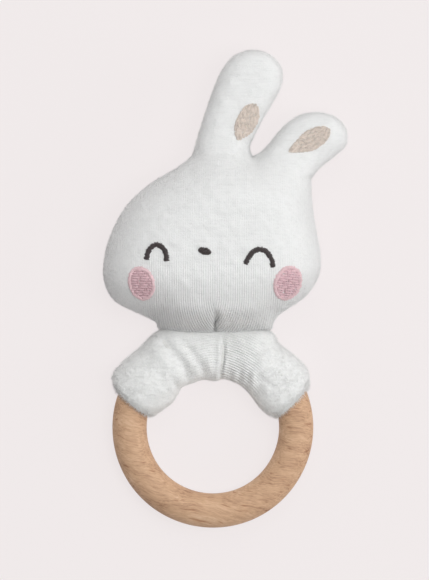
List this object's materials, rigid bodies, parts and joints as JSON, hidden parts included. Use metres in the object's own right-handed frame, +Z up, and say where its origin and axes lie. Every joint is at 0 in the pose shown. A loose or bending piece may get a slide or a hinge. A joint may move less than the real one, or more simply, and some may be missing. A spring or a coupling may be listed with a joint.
{
  "type": "plush teething ring",
  "caption": "Round wooden teething ring held in the padded arms of a plush rabbit with a nodding head, bending ears and a rattle inside",
  "frame": {"origin": "middle of the footprint of the toy lying on its back, on the surface it lies on", "axes": "+Z up, out of the rabbit's face; +Y from the ring to the ears; +X to the right as seen from the front"},
  "size_m": [0.0852, 0.1652, 0.0373],
  "materials": {
    "beech": "bare sanded beech",
    "velour": "short soft pile",
    "fibre": "loose polyester fibre",
    "brown_thread": "satin stitch",
    "pink_thread": "satin stitch",
    "beige_thread": "satin stitch",
    "white_thread": "spun polyester",
    "rattle_plastic": "moulded",
    "bead_plastic": "tumbled"
  },
  "bodies": {
    "sleeve": {"sleeve_front": "velour", "sleeve_back": "velour", "sleeve_wadding": "fibre", "closing_thread": "white_thread", "neck_thread": "white_thread"},
    "ring": {"wooden_ring": "beech"},
    "head": {"head_front": "velour", "head_back": "velour", "head_filling_front": "fibre", "head_filling_back": "fibre", "eye_left": "brown_thread", "eye_right": "brown_thread", "nose": "brown_thread", "cheek_left": "pink_thread", "cheek_right": "pink_thread", "rattle_shell_front": "rattle_plastic", "rattle_shell_back": "rattle_plastic", "ear_left_thread": "white_thread", "ear_right_thread": "white_thread"},
    "ear_left": {"ear_left_front": "velour", "ear_left_back": "velour", "ear_left_filling": "fibre", "ear_left_patch": "beige_thread"},
    "ear_right": {"ear_right_front": "velour", "ear_right_back": "velour", "ear_right_filling": "fibre", "ear_right_patch": "beige_thread"},
    "beads": {"bead_1": "bead_plastic", "bead_2": "bead_plastic", "bead_3": "bead_plastic", "bead_4": "bead_plastic"}
  },
  "joints": [
    {"name": "ring_turn", "type": "hinge", "parent": "sleeve", "child": "ring", "pos_m": [-0.00455, -0.04763, 0.00726], "axis": [0, -0.0533, 0.9986], "continuous": true},
    {"name": "neck_nod", "type": "hinge", "parent": "sleeve", "child": "head", "pos_m": [-0.00455, -0.01022, 0.00923], "axis": [1, 0, 0], "range_deg": [-30, 12], "stiffness_Nm_per_rad": 0.08},
    {"name": "ear_left_bend", "type": "hinge", "parent": "head", "child": "ear_left", "pos_m": [-0.00101, 0.04683, 0.0155], "axis": [0.9993, -0.0378, 0], "range_deg": [-30, 30], "stiffness_Nm_per_rad": 0.01},
    {"name": "ear_right_bend", "type": "hinge", "parent": "head", "child": "ear_right", "pos_m": [0.01958, 0.04246, 0.0155], "axis": [0.9286, -0.3712, 0], "range_deg": [-30, 30], "stiffness_Nm_per_rad": 0.01},
    {"name": "bead_roll", "type": "hinge", "parent": "head", "child": "beads", "pos_m": [-0.00455, 0.01382, 0.0155], "axis": [0, 1, 0], "continuous": true}
  ]
}
